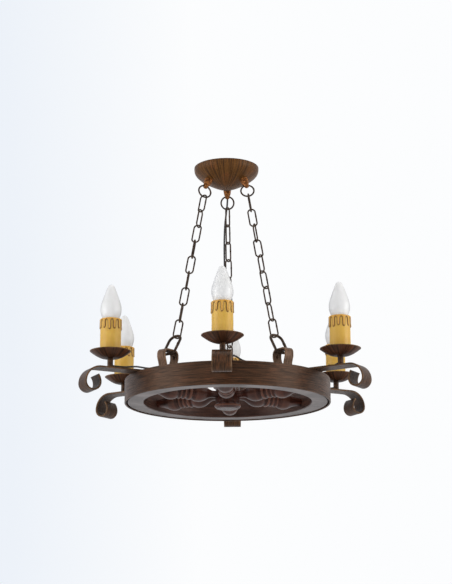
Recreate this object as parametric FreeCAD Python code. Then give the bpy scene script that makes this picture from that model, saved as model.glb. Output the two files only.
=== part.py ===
import FreeCAD, Part
import os
import math

# Wagon wheel chandelier.  Millimetres, +Z up.  The origin is the centre of the ceiling
# canopy on the ceiling plane, and everything hangs below it.  Angles round the wheel
# start at the front arm (towards -Y) and grow towards +X.

V = FreeCAD.Vector
os.makedirs("parts", exist_ok=True)

# ---------------------------------------------------------------- driving dimensions
HANG = 419.5            # ceiling plane above the lower edge of the iron hoop
WHEEL_Y = 7.0           # the wheel balances this far behind the canopy axis
HOOP_R = 175.0          # outer radius of the iron hoop
HOOP_T = 2.8
HOOP_H = 39.1
FELLOE_IN = 142.8       # inner radius of the wooden ring
FELLOE_Z0 = 1.3         # underside of the wood, just inside the hoop
SCREWS_R = (151.6, 164.6)            # the two screws at each arm's root
GROOVE = (156.0, 161.6, 7.0)        # wiring groove: inner radius, outer radius, depth
SPOKE_Z = 14.7          # axis of the spokes above the lower edge of the hoop
STRAP_W = 31.0          # arm strap
STRAP_T = 2.8
ARM_ROOT = 147.2
STEM_R = 218.0          # radius of the candle axes
PAN_TOP = 69.9
SLEEVE_TOP = 124.0
BULB_TIP = 183.2
CANOPY_R = 56.6
EYE_BASE = 35.0         # radius of the screw eyes' seats on the canopy
EYE_TILT = 26.0
EYE_HOLE = 13.5         # seat to cross hole along the eye's axis
RING_R = 11.3           # centreline radius of the round rings
RING_WIRE = 1.45
LINK_L = 34.49          # centreline length of a chain link
LINK_W = 12.3           # centreline width
LINK_WIRE = 1.35
HOOK_L = 40.0           # thick lower link
HOOK_W = 23.4
HOOK_WIRE = 2.3
BRACKET_R = 157.5       # middle of the bracket arch
BRACKET_W = 16.5
BRACKET_FOOT = 12.4     # half spacing of its legs
HOOK_R = {"left": 157.0, "right": 157.0, "back": 152.0}   # where the thick link bears on the arch
HOOK_Z = 60.6           # middle of the link's lower bar, just under the arch
HOOK_TOP = (135.4, 94.2)            # radius and height of the upper end of a side link
CORD_D = 3.2
ARMS = ("front", "front_right", "back_right", "back", "back_left", "front_left")
CHAINS = (("left", -60.0, -36.0), ("right", 60.0, 37.0), ("back", 180.0, 180.0))

made = {}


def save(name, *shapes):
    shape = shapes[0] if len(shapes) == 1 else Part.makeCompound(list(shapes))
    shape.exportStep("parts/" + name + ".step")
    made[name] = shape
    print("%-24s %2d solids  %10.1f mm3" % (name, len(shape.Solids), shape.Volume))


def at(r, angle, z, side=0.0):
    """A point on the wheel: radius, angle, height above the hoop's edge, sideways."""
    a = math.radians(angle)
    return V(r * math.sin(a) + side * math.cos(a), WHEEL_Y - r * math.cos(a) + side * math.sin(a),
             z - HANG)


def out(angle):
    a = math.radians(angle)
    return V(math.sin(a), -math.cos(a), 0)


def along(angle):
    a = math.radians(angle)
    return V(math.cos(a), math.sin(a), 0)


def place(shape, origin, x, z):
    """Put a shape with its own axes at origin, its X along x and its Z along z."""
    z = V(z).normalize()
    x = (x - z * z.dot(x)).normalize()
    y = z.cross(x)
    m = FreeCAD.Matrix(x.x, y.x, z.x, origin.x, x.y, y.y, z.y, origin.y, x.z, y.z, z.z, origin.z)
    s = shape.copy()
    s.Placement = FreeCAD.Placement(m).multiply(s.Placement)
    return s


def turned(points, smooth=(), axis_x=0.0):
    """A solid of revolution about Z from (r, z) corners; runs named in smooth are splines."""
    p = [V(r + axis_x, 0, z) for r, z in points]
    edges, i, n = [], 0, len(p)
    runs = dict(smooth)
    while i < n - 1:
        if i in runs:
            j = runs[i]
            c = Part.BSplineCurve()
            c.interpolate(p[i:j + 1])
            edges.append(c.toShape())
            i = j
        else:
            edges.append(Part.LineSegment(p[i], p[i + 1]).toShape())
            i += 1
    if (p[0] - p[-1]).Length > 1e-7:
        edges.append(Part.LineSegment(p[-1], p[0]).toShape())
    face = Part.Face(Part.Wire(edges))
    return face.revolve(V(0, 0, 0), V(0, 0, 1), 360)


def skin(points, t):
    """Offset an (r, z) run sideways by t, towards the axis side of its direction."""
    res = []
    for i, (r, z) in enumerate(points):
        a = points[max(i - 1, 0)]
        b = points[min(i + 1, len(points) - 1)]
        dr, dz = b[0] - a[0], b[1] - a[1]
        ln = math.hypot(dr, dz)
        res.append((max(r - dz / ln * t, 0.0), z + dr / ln * t))
    return res


def strip(start, heading, legs, t):
    """Closed face of a bent strip in the XZ plane.

    legs are ("run", length) or ("bend", centreline radius, degrees to the right).
    """
    x, z, h = start[0], start[1], math.radians(heading)
    left, right = [], []

    def off(px, pz, ang, d):
        return V(px - math.sin(ang) * d, 0, pz + math.cos(ang) * d)

    first = (off(x, z, h, t / 2), off(x, z, h, -t / 2))
    for leg in legs:
        a0 = (off(x, z, h, t / 2), off(x, z, h, -t / 2))
        if leg[0] == "run":
            x, z = x + math.cos(h) * leg[1], z + math.sin(h) * leg[1]
            a1 = (off(x, z, h, t / 2), off(x, z, h, -t / 2))
            left.append(Part.LineSegment(a0[0], a1[0]).toShape())
            right.append(Part.LineSegment(a0[1], a1[1]).toShape())
        else:
            rad, turn = leg[1], math.radians(leg[2])
            s = 1.0 if turn > 0 else -1.0
            cx, cz = x + math.sin(h) * rad * s, z - math.cos(h) * rad * s
            mid, end = h - turn / 2, h - turn

            def on(ang, d):
                px, pz = cx - math.sin(ang) * rad * s, cz + math.cos(ang) * rad * s
                return off(px, pz, ang, d)

            left.append(Part.Arc(a0[0], on(mid, t / 2), on(end, t / 2)).toShape())
            right.append(Part.Arc(a0[1], on(mid, -t / 2), on(end, -t / 2)).toShape())
            x, z = cx - math.sin(end) * rad * s, cz + math.cos(end) * rad * s
            h = end
    last = (off(x, z, h, t / 2), off(x, z, h, -t / 2))
    edges = left + [Part.LineSegment(last[0], last[1]).toShape()] + right
    edges.append(Part.LineSegment(first[0], first[1]).toShape())
    return Part.Face(Part.Wire(Part.__sortEdges__(edges)))


def strap(start, heading, legs, t, width):
    face = strip(start, heading, legs, t)
    face.translate(V(0, -width / 2, 0))
    return face.extrude(V(0, width, 0))


def loop(length, width, low, high, wire):
    """A closed wire link in XZ, centreline length and width, corner radii low and high.

    The middle of the low end is at the origin and the link stands up +Z.
    """
    w = width / 2.0
    parts = []

    def bar(a, b):
        d = b - a
        if d.Length > 1e-6:
            parts.append(Part.makeCylinder(wire, d.Length, a, d))

    def corner(c, rad, a0):
        disc = Part.Face(Part.Wire(Part.makeCircle(wire, c + V(rad, 0, 0), V(0, 0, 1))))
        seg = disc.revolve(c, V(0, -1, 0), 90)
        seg.rotate(c, V(0, -1, 0), a0)
        parts.append(seg)

    corner(V(w - low, 0, low), low, -90)
    corner(V(w - high, 0, length - high), high, 0)
    corner(V(-w + high, 0, length - high), high, 90)
    corner(V(-w + low, 0, low), low, 180)
    bar(V(w, 0, low), V(w, 0, length - high))
    bar(V(-w, 0, low), V(-w, 0, length - high))
    bar(V(-w + low, 0, 0), V(w - low, 0, 0))
    bar(V(-w + high, 0, length), V(w - high, 0, length))
    return parts[0].multiFuse(parts[1:]).removeSplitter()


def tube_path(points, bends=None):
    """Straight runs joined by tangent arcs; each arc as large as its two runs allow."""
    edges, radii, here = [], [], points[0]
    for i in range(1, len(points) - 1):
        a, p, b = points[i - 1], points[i], points[i + 1]
        u, w = (a - p), (b - p)
        lu, lw = u.Length, w.Length
        u, w = u.normalize(), w.normalize()
        half = (math.pi - u.getAngle(w)) / 2
        rad = 0.45 * min(lu, lw) / math.tan(half)
        if bends and bends.get(i):
            rad = bends[i]
        cut = rad * math.tan(half)
        s, e = p + u * cut, p + w * cut
        c = p + (u + w).normalize() * (rad / math.cos(half))
        m = c + (p - c).normalize() * rad
        edges.append(Part.LineSegment(here, s).toShape())
        edges.append(Part.Arc(s, m, e).toShape())
        here = e
        radii.append(rad)
    edges.append(Part.LineSegment(here, points[-1]).toShape())
    return Part.Wire(edges), radii


def tube(points, d, bends=None):
    wire, radii = tube_path(points, bends)
    ring = Part.Wire(Part.makeCircle(d / 2, points[0], points[1] - points[0]))
    solid = wire.makePipeShell([ring], True, True)
    want = math.pi * d * d / 4 * wire.Length
    print("   tube %.1f mm long, volume %.4f of section times length, radii %s" % (
        wire.Length, solid.Volume / want, " ".join("%.1f" % r for r in radii)))
    return solid


# ---------------------------------------------------------------- ceiling canopy
DOME = [(CANOPY_R, 0), (CANOPY_R - 0.2, -5), (55.2, -9.5), (52.5, -13.5), (48, -17.8), (42, -22.3),
        (35, -26.6), (28, -30.2), (22, -33.2), (16, -35.6), (8, -37.3), (0, -37.6)]
CANOPY_T = 1.2
inner = [(CANOPY_R - CANOPY_T, 0), (CANOPY_R - 0.2 - CANOPY_T, -5)]
inner += skin(DOME, -CANOPY_T)[2:-1] + [(0, -37.6 + CANOPY_T)]
profile = DOME + inner[::-1]
canopy = turned(profile, smooth=((0, len(DOME) - 1), (len(DOME), len(profile) - 1)))

tilt = math.radians(EYE_TILT)


def eye_frame(angle):
    """Seat, axis (pointing down and out) and cross hole centre of one screw eye."""
    o = out(angle)
    axis = o * math.sin(tilt) + V(0, 0, -math.cos(tilt))
    seat = o * EYE_BASE + V(0, 0, -26.6)
    return seat, axis, seat + axis * EYE_HOLE


GRUB_Z = -5.0
CORD_EXIT = V(0, 50.5, -22.0)
for name, eye_angle, foot_angle in CHAINS:
    seat, axis, hole = eye_frame(eye_angle)
    canopy = canopy.cut(Part.makeCylinder(2.0, 14, seat - axis * 10, axis))
canopy = canopy.cut(Part.makeCylinder(4.0, 30, CORD_EXIT, V(0, 0, 1)))
for s in (-1, 1):
    canopy = canopy.cut(Part.makeCylinder(1.75, 10, V(s * 50, 0, GRUB_Z), V(s, 0, 0)))
save("canopy", canopy)

# crossbar screwed to the ceiling, its turned-down ends take the grub screws
BAR = (106.0, 18.0, 3.0)
bar = Part.makeBox(BAR[0], BAR[1], BAR[2], V(-BAR[0] / 2, -BAR[1] / 2, -BAR[2]))
for s in (-1, 1):
    ear = Part.makeBox(3, BAR[1] - 4, 9, V(s * 51.5 - 1.5, -(BAR[1] - 4) / 2, -BAR[2] - 6))
    bar = bar.fuse(ear)
    slot = Part.makeBox(8, 4.6, 6, V(s * 30 - 4, -2.3, -5))
    bar = bar.cut(slot.fuse([Part.makeCylinder(2.3, 6, V(s * 30 + e, 0, -5)) for e in (-4, 4)]))
    bar = bar.cut(Part.makeCylinder(1.75, 8, V(s * 48, 0, GRUB_Z), V(s, 0, 0)))
# the bar's corners follow the inside of the canopy
bar = bar.common(Part.makeCylinder(CANOPY_R - CANOPY_T - 0.5, 20, V(0, 0, -15)))
save("ceiling_crossbar", bar.removeSplitter())

grubs = []
for s in (-1, 1):
    g = Part.makeCylinder(1.75, 7.0, V(s * 49.3, 0, GRUB_Z), V(s, 0, 0))
    g = g.cut(Part.makeBox(2, 4, 0.7, V(s * 56.3 - 1, -2, GRUB_Z - 0.35)))
    grubs.append(g)
save("canopy_grub_screws", *grubs)

block = Part.makeBox(26, 15, 11, V(-13, -7.5, -14))
for x in (-8, 0, 8):
    block = block.cut(Part.makeCylinder(1.6, 15, V(x, -7.5, -10), V(0, 1, 0)))
    block = block.cut(Part.makeCylinder(1.7, 4, V(x, -4, -14)))
    block = block.cut(Part.makeCylinder(1.7, 4, V(x, 4, -14)))
save("canopy_terminal_block", block)

# rubber grommet that the cord leaves through, behind the back eye
grommet = Part.makeCylinder(4.0, 15.0, CORD_EXIT, V(0, 0, 1))
lip = Part.makeCylinder(5.0, 1.6, CORD_EXIT + V(0, 0, -1.6), V(0, 0, 1))
grommet = grommet.fuse(lip).cut(Part.makeCylinder(CORD_D / 2 + 0.2, 20, CORD_EXIT + V(0, 0, -3), V(0, 0, 1)))
grommet = grommet.removeSplitter()
save("cord_grommet", grommet)

# screw eyes: two beads, a cone with a cross hole, a threaded shank with its nut inside
EYE = [(0, -1.2), (6.7, -1.2), (7.0, 0.8), (6.7, 1.6), (5.6, 2.1), (6.9, 2.8), (7.0, 3.6), (6.5, 4.4), (5.9, 4.8),
       (6.4, 5.4), (6.3, 7), (5.6, 10), (4.9, 13), (4.2, 15.6), (3.2, 17.2), (1.7, 18.0), (0, 18.2)]
eyes, nuts, hang = [], [], {}
dome_solid = turned(DOME + [(0, 0)], smooth=((0, len(DOME) - 1),))
for name, eye_angle, foot_angle in CHAINS:
    seat, axis, hole = eye_frame(eye_angle)
    lift = 2.8 if name == "back" else 0.0     # the back bracket stands on its arm strap
    foot = at(HOOK_R[name], foot_angle, HOOK_Z + lift)
    top = foot + (hole - foot).normalize() * HOOK_L
    if name != "back":                # the side links lean further out than their chains
        top = at(HOOK_TOP[0], foot_angle, HOOK_TOP[1])
        top = foot + (top - foot).normalize() * HOOK_L
    d = (top - hole).normalize()
    turn = {"left": -28.0, "right": 0.0, "back": 0.0}[name]
    h = V(1, 0, 0) - d * d.x
    h = FreeCAD.Rotation(d, turn).multVec(h.normalize())
    hang[name] = (hole, foot, top, d, h)
    body = place(turned(EYE), seat, h, axis)
    # the bead sits on the curved shell, and the hole runs across the ring
    body = body.cut(dome_solid).cut(Part.makeCylinder(2.9, 20, hole - h * 10, h))
    body = body.cut(Part.makeTorus(RING_R, RING_WIRE + 0.6, hole + d * RING_R, d.cross(h)))
    body = body.fuse(Part.makeCylinder(2.0, 12.5, seat - axis * 11, axis)).removeSplitter()
    eyes.append(body)
    hexa = Part.Face(Part.makePolygon([V(3.9 * math.cos(math.radians(60 * i)),
                                         3.9 * math.sin(math.radians(60 * i)), 0) for i in range(7)]))
    nut = hexa.extrude(V(0, 0, 3.0)).cut(Part.makeCylinder(2.0, 4, V(0, 0, -0.5)))
    nuts.append(place(nut, seat - axis * 4.8, h, axis))
save("screw_eyes", *eyes)
save("screw_eye_nuts", *nuts)

# ---------------------------------------------------------------- rings, chains, thick links
# Turn of each link about its chain, in degrees from facing the front
TWIST = {"left": (30, 115, 5, 92, 0, 88, 2, 90, -18),
         "right": (88, 3, 76, -8, 58, -36, 48, -54, 14),
         "back": (57, -60, 47, -38, 50, -42, 48, -45, 45)}
link = loop(LINK_L, LINK_W, LINK_W / 2 - 0.01, LINK_W / 2 - 0.01, LINK_WIRE)
hook = loop(HOOK_L, HOOK_W, 6.0, 11.0, HOOK_WIRE)
for name, eye_angle, foot_angle in CHAINS:
    hole, foot, top, d, h = hang[name]
    save("ring_" + name, Part.makeTorus(RING_R, RING_WIRE, hole + d * RING_R, d.cross(h)))
    low = hole + d * (2 * RING_R)
    span = (top - low).Length
    fixed = RING_WIRE + LINK_WIRE + 8 * 2 * LINK_WIRE + LINK_WIRE + HOOK_WIRE
    gap = (9 * LINK_L - fixed - span) / 10.0
    print("   %s chain: %.2f mm from eye hole to thick link, clearance in each pair %.3f" % (
        name, (top - hole).Length, gap))
    side0 = (V(1, 0, 0) - d * d.x).normalize()
    links, tops = [], low - d * (RING_WIRE + LINK_WIRE + gap)
    for angle in TWIST[name]:
        w = FreeCAD.Rotation(d, angle).multVec(side0)
        links.append(place(link, tops + d * LINK_L, w, d * -1))
        last = LINK_WIRE if len(links) < 9 else HOOK_WIRE
        tops = tops + d * (LINK_L - LINK_WIRE - last - gap)
    low_link = place(hook, foot, along(foot_angle), top - foot)
    if name == "back":
        save("chain_back", *links)
        save("hook_link_back", low_link)
    else:
        save("chain_" + name, *links, low_link)
    print("   ring low (%.2f %.2f %.2f)  hook top (%.2f %.2f %.2f)  hook low (%.2f %.2f %.2f)" % (
        low.x, low.y, low.z, tops.x, tops.y, tops.z, foot.x, foot.y, foot.z))

# ---------------------------------------------------------------- hoop, felloe, hub, spokes
axis0 = V(0, WHEEL_Y, -HANG)


def wheel(shape):
    shape.translate(axis0)
    return shape


hoop = turned([(HOOP_R - HOOP_T, 0.3), (HOOP_R - HOOP_T + 0.3, 0), (HOOP_R - 0.5, 0), (HOOP_R, 0.5),
               (HOOP_R, HOOP_H - 0.5), (HOOP_R - 0.5, HOOP_H), (HOOP_R - HOOP_T, HOOP_H)])
save("iron_hoop", wheel(hoop))

g0, g1, gd = GROOVE
FELLOE_OUT = HOOP_R - HOOP_T
felloe = turned([(FELLOE_IN, FELLOE_Z0 + 1.2), (FELLOE_IN + 1.2, FELLOE_Z0), (FELLOE_OUT - 2.8, FELLOE_Z0),
                 (FELLOE_OUT - 2.5, FELLOE_Z0 + 0.4), (FELLOE_OUT - 2.5, 8.0), (FELLOE_OUT, 8.0),
                 (FELLOE_OUT, HOOP_H), (g1, HOOP_H), (g1, HOOP_H - gd), (g0, HOOP_H - gd), (g0, HOOP_H),
                 (FELLOE_IN + 1.0, HOOP_H), (FELLOE_IN, HOOP_H - 1.0)])
felloe = wheel(felloe)
for i in range(6):
    o = out(60 * i)
    felloe = felloe.cut(Part.makeCylinder(6.0, 17, at(138, 60 * i, SPOKE_Z), o))
    for r in SCREWS_R:
        felloe = felloe.cut(Part.makeCylinder(2.0, 16, at(r, 60 * i, HOOP_H - 15)))
for name, eye_angle, foot_angle in CHAINS:
    for s in (-1, 1):
        b = Part.makeBox(STRAP_T, BRACKET_W, 16, V(-STRAP_T / 2, -BRACKET_W / 2, 0))
        felloe = felloe.cut(place(b, at(BRACKET_R + s * BRACKET_FOOT, foot_angle, HOOP_H - 15),
                                  out(foot_angle), V(0, 0, 1)))
save("felloe", felloe)

HUB = [(0, -8.4), (18.0, -8.4), (18.7, -7.8), (20.6, -6.6), (22.2, -5.0), (22.6, -3.4), (22.0, -1.8), (20.6, -0.6),
       (20.1, 1.0), (20.4, 6), (20.7, 14.7), (20.4, 24), (20.1, 29.2), (20.6, 30.8), (22.0, 32.0), (22.6, 33.6),
       (22.2, 35.2), (20.6, 36.8), (18.7, 38.0), (18.0, 38.6), (0, 38.6)]
hub = wheel(turned(HUB, smooth=((1, 19),)))
for i in range(6):
    hub = hub.cut(Part.makeCylinder(5.5, 14, at(12.5, 60 * i, SPOKE_Z), out(60 * i)))
hub = hub.cut(Part.makeCylinder(4.0, 20, axis0 + V(0, 0, 20)))
save("hub", hub)

# turned baluster spoke: (distance from the wheel's axis, radius)
SPOKE = [(12.5, 5.5), (20.2, 5.5), (20.9, 5.9), (26, 5.9), (31, 6.2), (36, 7.8), (41, 10.4), (47, 13.4), (54, 15.1),
         (60, 15.0), (65, 13.8), (67.4, 12.6), (68.2, 11.0), (70.6, 10.8), (71.4, 12.3), (74.4, 13.3),
         (77.4, 12.3), (78.2, 10.8), (80.6, 10.6), (81.4, 11.7), (83.8, 12.5), (86.2, 11.7), (87.0, 10.6),
         (89.2, 10.8), (90.0, 12.0), (92.2, 12.7), (94.4, 12.0), (95.2, 11.0), (96.4, 11.2), (98, 12.8),
         (102.5, 14.7), (107.5, 15.4), (113, 14.9), (119, 12.7), (125, 10.3), (131, 8.5), (137, 7.4),
         (142.6, 6.9), (142.8, 6.0), (154.5, 6.0), (155, 5.5)]
smooth_runs = ((2, 11), (14, 16), (19, 21), (24, 26), (29, 37))
spoke = turned([(0, 12.5)] + [(r, z) for z, r in SPOKE] + [(0, 155)],
               smooth=tuple((a + 1, b + 1) for a, b in smooth_runs))
save("spokes", *[place(spoke, at(0, 60 * i, SPOKE_Z), along(60 * i), out(60 * i)) for i in range(6)])

# ---------------------------------------------------------------- arms with scrolls
# The straps were bent by hand, so each scroll is a little different:
# (outer radius of the drop, outer radius of the curl, radius and degrees of the tail)
SCROLL = {"front": (24.5, 12.6, 20.0, 40), "front_right": (26.0, 13.9, 22.0, 36), "back_right": (28.0, 13.0, 19.0, 44),
          "back": (26.5, 13.0, 20.0, 40), "back_left": (28.5, 13.2, 20.0, 42), "front_left": (27.5, 14.2, 21.0, 38)}
screws, stems, pans_at = [], [], []
for i, name in enumerate(ARMS):
    angle = 60.0 * i
    drop, curl, tail, sweep = SCROLL[name]
    half = STRAP_T / 2
    arm = strap((ARM_ROOT, HOOP_H + half), 0,
                (("run", 240.0 - ARM_ROOT), ("bend", drop - half, 90), ("bend", curl - half, 180),
                 ("bend", tail, sweep)), STRAP_T, STRAP_W)
    for r, rad in ((SCREWS_R[0], 2.0), (SCREWS_R[1], 2.0), (STEM_R, 4.8)):
        arm = arm.cut(Part.makeCylinder(rad, 8, V(r, 0, HOOP_H - 2)))
    if name == "back":
        arm = arm.cut(Part.makeBox(STRAP_T, BRACKET_W, 8,
                                   V(BRACKET_R + BRACKET_FOOT - half, -BRACKET_W / 2, HOOP_H - 2)))
    save("arm_" + name, place(arm, axis0, out(angle), V(0, 0, 1)))
    top = HOOP_H + STRAP_T
    for r in SCREWS_R:
        head = Part.makeSphere(4.2, V(0, 0, -2.2)).common(Part.makeCylinder(4.3, 4, V(0, 0, 0)))
        head = head.cut(Part.makeBox(9, 1.0, 2, V(-4.5, -0.5, 1.2)))
        s = head.fuse(Part.makeCylinder(2.0, 14, V(0, 0, -14))).removeSplitter()
        screws.append(place(s, at(r, angle, top), out(angle), V(0, 0, 1)))
save("arm_screws", *screws)

# ---------------------------------------------------------------- candles
pan_low = [(0, 57.6), (9, 57.7), (14, 58.5), (19, 60.3), (25, 63.6), (30, 67.0), (33.0, 69.3)]
pan_rim = [(33.7, 69.6), (33.9, 70.1), (33.5, 70.6), (32.8, 70.6)]
pan_up = [(0, 58.8), (9, 58.9), (13.6, 59.7), (18.4, 61.4), (24.3, 64.7), (29.2, 68.0), (32.2, 70.2)]
pan = turned(pan_low + pan_rim + pan_up[::-1], smooth=((0, 6), (11, 17)))
pan = pan.cut(Part.makeCylinder(4.8, 6, V(0, 0, 56)))

# hollow threaded tube from the strap up into the lampholder
stem = Part.makeCylinder(4.8, 78.0 - HOOP_H, V(0, 0, HOOP_H))
stem = stem.cut(Part.makeCylinder(3.4, 60, V(0, 0, HOOP_H - 1)))
stem = stem.cut(Part.makeCylinder(1.7, 8, V(0, 0, HOOP_H + STRAP_T + 4.2), V(-1, 0, 0)))

hexa = Part.Face(Part.makePolygon([V(7.5 * math.cos(math.radians(60 * i)),
                                     7.5 * math.sin(math.radians(60 * i)), 0) for i in range(7)]))
stem_nut = hexa.extrude(V(0, 0, 3.6)).cut(Part.makeCylinder(4.8, 6, V(0, 0, -1)))
stem_nut.translate(V(0, 0, 58.8 + 0.15))

holder = turned([(4.8, 66), (12.0, 66), (12.8, 68), (12.8, 103), (12.4, 104), (7.5, 104), (7.5, 84), (9.0, 82),
                 (9.0, 79), (4.8, 79)])

# wax candle sleeve, its collar and the fingers of wax running down from it
SLEEVE_R, SLEEVE_IN, WAX_R = 17.2, 14.3, 18.2
sleeve = turned([(SLEEVE_IN, 62.6), (SLEEVE_R, 62.6), (SLEEVE_R, SLEEVE_TOP - 3.0), (SLEEVE_R, SLEEVE_TOP - 1.0),
                 (SLEEVE_R - 0.7, SLEEVE_TOP), (SLEEVE_IN + 0.5, SLEEVE_TOP), (SLEEVE_IN, SLEEVE_TOP - 0.6)])
collar = turned([(SLEEVE_R - 1, SLEEVE_TOP - 5.0), (WAX_R - 0.6, SLEEVE_TOP - 4.6), (WAX_R, SLEEVE_TOP - 3.4),
                 (WAX_R, SLEEVE_TOP - 1.6), (WAX_R - 0.7, SLEEVE_TOP - 0.4), (SLEEVE_R - 1, SLEEVE_TOP - 0.2)])
FINGERS = ((0, 17.5, 2.9), (35, 13.0, 2.5), (66, 18.5, 3.0), (101, 15.0, 2.6), (136, 19.5, 3.1), (171, 14.0, 2.6),
           (205, 18.0, 2.9), (240, 12.5, 2.4), (272, 19.0, 3.0), (306, 15.5, 2.6), (334, 12.0, 2.3))
wax = [collar]
for turn, drop, rad in FINGERS:
    c = along(turn) * (WAX_R - rad)
    c.z = SLEEVE_TOP - 3.0
    wax.append(Part.makeCylinder(rad, drop - 3.0, c, V(0, 0, -1)))
    wax.append(Part.makeSphere(rad, c - V(0, 0, drop - 3.0)))
sleeve = sleeve.multiFuse(wax)
sleeve = sleeve.cut(Part.makeCylinder(SLEEVE_IN, 80, V(0, 0, 55))).removeSplitter()

GLASS = [(6.9, 106.0), (8.1, 111.0), (10.4, 117.0), (13.2, 124.0), (15.9, 131.0), (17.3, 137.0), (17.5, 141.0),
         (16.9, 147.0), (14.6, 155.0), (11.5, 164.0), (8.4, 172.5), (6.2, 178.0), (4.2, 181.4), (2.0, 182.9),
         (0, BULB_TIP)]
inner = skin(GLASS, 0.9)
inner = [(r, z) for r, z in inner[:-1] if z < BULB_TIP - 1.2] + [(0, BULB_TIP - 0.9)]
inner[0] = (GLASS[0][0] - 0.9, 106.0)
ring = GLASS + inner[::-1]
glass = turned(ring, smooth=((0, len(GLASS) - 1), (len(GLASS), len(ring) - 1)))
CAP = [(0, 84.6), (2.2, 84.6), (3.0, 86.0), (4.6, 87.4), (6.2, 88.4)]
for k in range(5):
    z = 88.9 + 2.9 * k
    CAP += [(6.9, z), (6.9, z + 0.9), (6.4, z + 1.45), (6.4, z + 1.9)]
CAP += [(6.9, 103.4), (6.9, 106.0), (0, 106.0)]
cap = turned(CAP)

TURNS = (0, 21, 47, 11, 33, 58)
pans, nuts2, holders = [], [], []
for i, name in enumerate(ARMS):
    base = at(STEM_R, 60 * i, 0)
    for s, dest in ((stem, stems), (pan, pans), (stem_nut, nuts2), (holder, holders)):
        dest.append(place(s, base, out(60 * i), V(0, 0, 1)))
    save("drip_pan_" + name, pans[-1])
    spin = along(60 * i + TURNS[i])
    save("candle_sleeve_" + name, place(sleeve, base, spin, V(0, 0, 1)))
    save("bulb_glass_" + name, place(glass, base, out(60 * i), V(0, 0, 1)))
    save("bulb_cap_" + name, place(cap, base, out(60 * i), V(0, 0, 1)))
save("stems", *stems)
save("stem_nuts", *nuts2)
save("lampholders", *holders)

# ---------------------------------------------------------------- brackets and their rivets
arch_legs = (("run", 15.5), ("bend", 12.0, -19.0), ("run", 8.0), ("bend", 12.0, 19.0), ("run", 3.3), ("bend", 7.5, 90.0))
flare = 2 * 12.0 * (1 - math.cos(math.radians(19))) + 8.0 * math.sin(math.radians(19))
half_top = BRACKET_FOOT + flare - 7.5
back_legs = (("bend", 7.5, 90.0), ("run", 3.3), ("bend", 12.0, 19.0), ("run", 8.0), ("bend", 12.0, -19.0), ("run", 15.5))
arch = strap((-BRACKET_FOOT, HOOP_H - 14.5), 90, arch_legs + (("run", 2 * half_top),) + back_legs,
             STRAP_T, BRACKET_W)
box = arch.BoundBox
print("   arch top %.2f, half width %.2f, inner top %.2f" % (box.ZMax, box.XMax, box.ZMax - STRAP_T))
rivets = []
for name, eye_angle, foot_angle in CHAINS:
    lift = STRAP_T if name == "back" else 0.0
    o = out(foot_angle)
    leg_x = -(BRACKET_FOOT + flare)
    zr = HOOP_H + 17.0
    hole = Part.makeCylinder(1.6, 6, V(leg_x - 3, 0, zr), V(1, 0, 0))
    b = arch.cut(hole)
    save("bracket_" + name, place(b, at(BRACKET_R, foot_angle, lift), o, V(0, 0, 1)))
    rivet = Part.makeCylinder(1.6, STRAP_T, V(leg_x - STRAP_T / 2, 0, zr), V(1, 0, 0))
    for x, s in ((leg_x + STRAP_T / 2, 1), (leg_x - STRAP_T / 2, -1)):
        dome = Part.makeSphere(3.4, V(x - s * 1.8, 0, zr))
        keep = Part.makeCylinder(3.2, 4, V(x, 0, zr), V(s, 0, 0))
        rivet = rivet.fuse(dome.common(keep))
    rivets.append(place(rivet.removeSplitter().cut(b), at(BRACKET_R, foot_angle, lift), o, V(0, 0, 1)))
save("bracket_rivets", *rivets)

# ---------------------------------------------------------------- wiring on the wheel
mid = (g0 + g1) / 2
GAP_ANGLE = 188.5
loom_z = HOOP_H - gd + 2.3
disc = Part.Face(Part.Wire(Part.makeCircle(2.1, V(mid, 0, loom_z), V(0, 1, 0))))
loom = disc.revolve(V(0, 0, 0), V(0, 0, 1), 352)      # the terminal block sits in the gap
loom.rotate(V(0, 0, 0), V(0, 0, 1), GAP_ANGLE - 90 + 4)
loom = wheel(loom)
end_block = Part.makeBox(4.8, 20, 6.2, V(-2.4, -10, 0))
for y in (-6, 0, 6):
    end_block = end_block.cut(Part.makeCylinder(1.2, 3, V(0, y, 4)))
end_block = place(end_block, at(mid, GAP_ANGLE, HOOP_H - gd + 0.1), out(GAP_ANGLE), V(0, 0, 1))
save("wheel_terminal_block", end_block)
# each arm's wire leaves its stem, crosses the hoop and drops into the groove
WIRE = ((213.0, 46.1, 0), (207.6, 45.4, 2.5), (199.3, 43.7, 9.5), (189.7, 43.9, 15.0), (181.2, 44.6, 19.5),
        (173.5, 43.0, 24.0), (166.8, 41.4, 28.5), (161.3, 40.9, 33.5), (mid, 38.8, 41.0))
wires = [loom]
for i in range(6):
    pts = [at(r, 60 * i + math.degrees(math.asin(side / r)), z) for r, z, side in WIRE]
    wires.append(tube(pts, 2.9))
save("wheel_wiring", *wires)

# ---------------------------------------------------------------- power cord beside the back chain
hole, foot, top, d, h = hang["back"]
n = V(0, -d.z, d.y)                 # behind the chain, square to it


def beside(x, back, s):
    return hole + V(x, 0, 0) + n * back + d * s


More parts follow.
